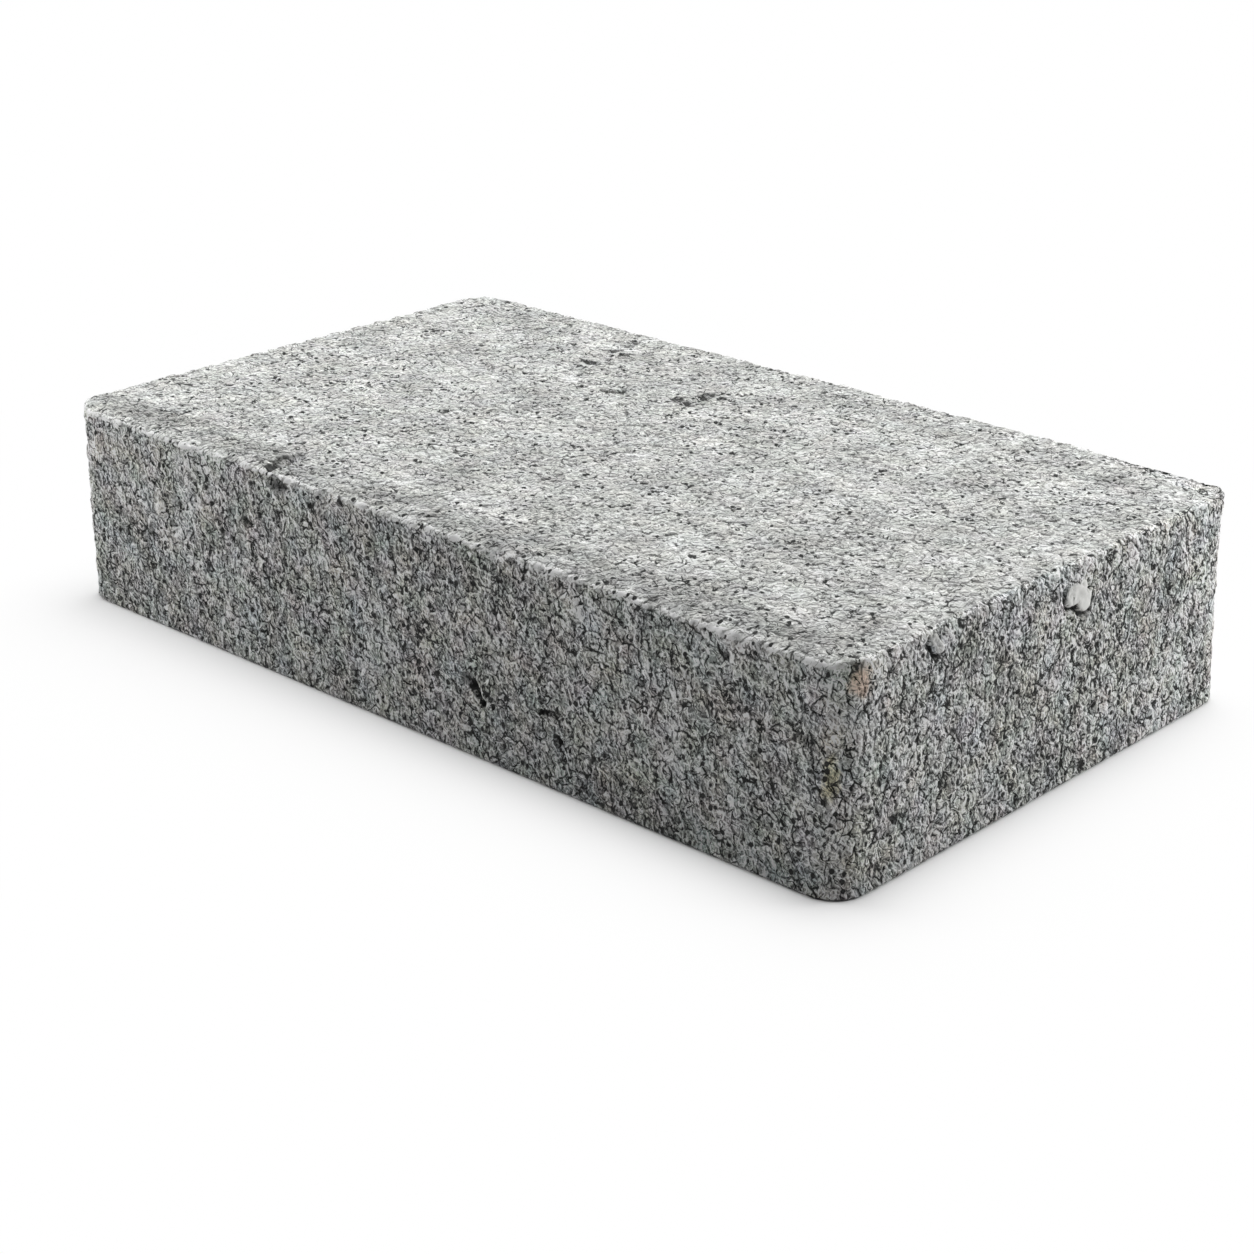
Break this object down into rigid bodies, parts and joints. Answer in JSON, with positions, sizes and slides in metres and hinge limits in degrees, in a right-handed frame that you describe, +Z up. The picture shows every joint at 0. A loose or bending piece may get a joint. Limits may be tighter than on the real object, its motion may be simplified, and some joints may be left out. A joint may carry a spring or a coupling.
{
  "type": "concrete paving stone",
  "caption": "Rectangular pressed concrete paving stone with rounded upright corners, worn arrises, an open-grained grey surface and a chipped long edge; laid flat as paving.",
  "frame": {"origin": "centre of the bed, the face that the stone lies on", "axes": "+X along the length, +Y across the width, +Z up through the walking face"},
  "size_m": [0.289, 0.167, 0.06],
  "materials": {
    "concrete": "matt, rough pressed concrete with open pores and pale sand grains"
  },
  "bodies": {
    "root": {"paving_stone": "concrete"}
  },
  "joints": []
}
